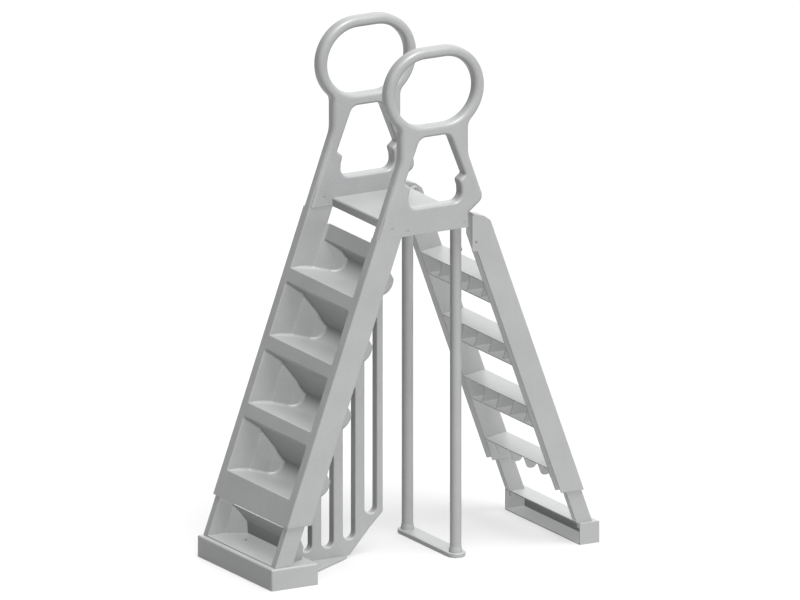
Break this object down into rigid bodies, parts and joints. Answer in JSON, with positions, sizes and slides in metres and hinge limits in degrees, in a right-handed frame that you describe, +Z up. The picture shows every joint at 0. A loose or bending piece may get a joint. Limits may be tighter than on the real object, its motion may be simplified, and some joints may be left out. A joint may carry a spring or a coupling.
{
  "type": "pool ladder",
  "caption": "A-frame ladder for an above-ground pool: closed-riser pocket stair and slotted barrier inside, open treads outside, deck and oval grip handrails on top.",
  "frame": {"origin": "on the floor, midway between the two feet and on the centre plane", "axes": "+X across the ladder to the right of a person who faces the stair from the pool, +Y from the pool side to the outside, +Z up"},
  "size_m": [0.58, 1.435, 2.051],
  "materials": {
    "resin": "fine satin grain",
    "fastener_steel": "dull stainless",
    "post_aluminium": "drawn tube"
  },
  "bodies": {
    "frame": {"pool_step_shell": "resin", "handrail_left": "resin", "handrail_right": "resin", "deck": "resin", "leg_collar_left": "resin", "leg_collar_right": "resin", "leg_post_left": "post_aluminium", "leg_post_right": "post_aluminium", "hinge_pin_left": "fastener_steel", "hinge_pin_right": "fastener_steel", "collar_screws": "fastener_steel", "deck_screws": "fastener_steel", "rail_screws": "fastener_steel", "pool_height_bolts": "fastener_steel"},
    "pool_lower": {"pool_lower_shell": "resin", "pool_base": "resin", "barrier_foot": "resin", "barrier_fin": "resin", "base_screws": "fastener_steel", "foot_screws": "fastener_steel", "fin_screws": "fastener_steel"},
    "outer_upper": {"outer_rail_left": "resin", "outer_rail_right": "resin", "outer_tread_1": "resin", "outer_tread_2": "resin", "outer_tread_3": "resin", "outer_tread_4": "resin", "tread_screws": "fastener_steel", "outer_height_bolts": "fastener_steel"},
    "outer_lower": {"outer_lower_rail_left": "resin", "outer_lower_rail_right": "resin", "outer_base": "resin", "outer_base_screws": "fastener_steel"},
    "legs": {"leg_tube_left": "resin", "leg_tube_right": "resin", "leg_boot_left": "resin", "leg_boot_right": "resin", "leg_foot_plate": "resin", "boot_screws": "fastener_steel", "leg_clamp_screws": "fastener_steel"}
  },
  "joints": [
    {"name": "pool_height", "type": "slide", "parent": "frame", "child": "pool_lower", "axis": [0, -0.342, -0.9397], "range_m": [0, 0.054]},
    {"name": "leg_height", "type": "slide", "parent": "frame", "child": "legs", "axis": [0, 0, -1], "range_m": [0, 0.051]},
    {"name": "outer_swing", "type": "hinge", "parent": "frame", "child": "outer_upper", "pos_m": [0, 0.2, 1.338], "axis": [1, 0, 0], "range_deg": [0, 110]},
    {"name": "outer_height", "type": "slide", "parent": "outer_upper", "child": "outer_lower", "axis": [0, 0.342, -0.9397], "range_m": [0, 0.054]}
  ]
}
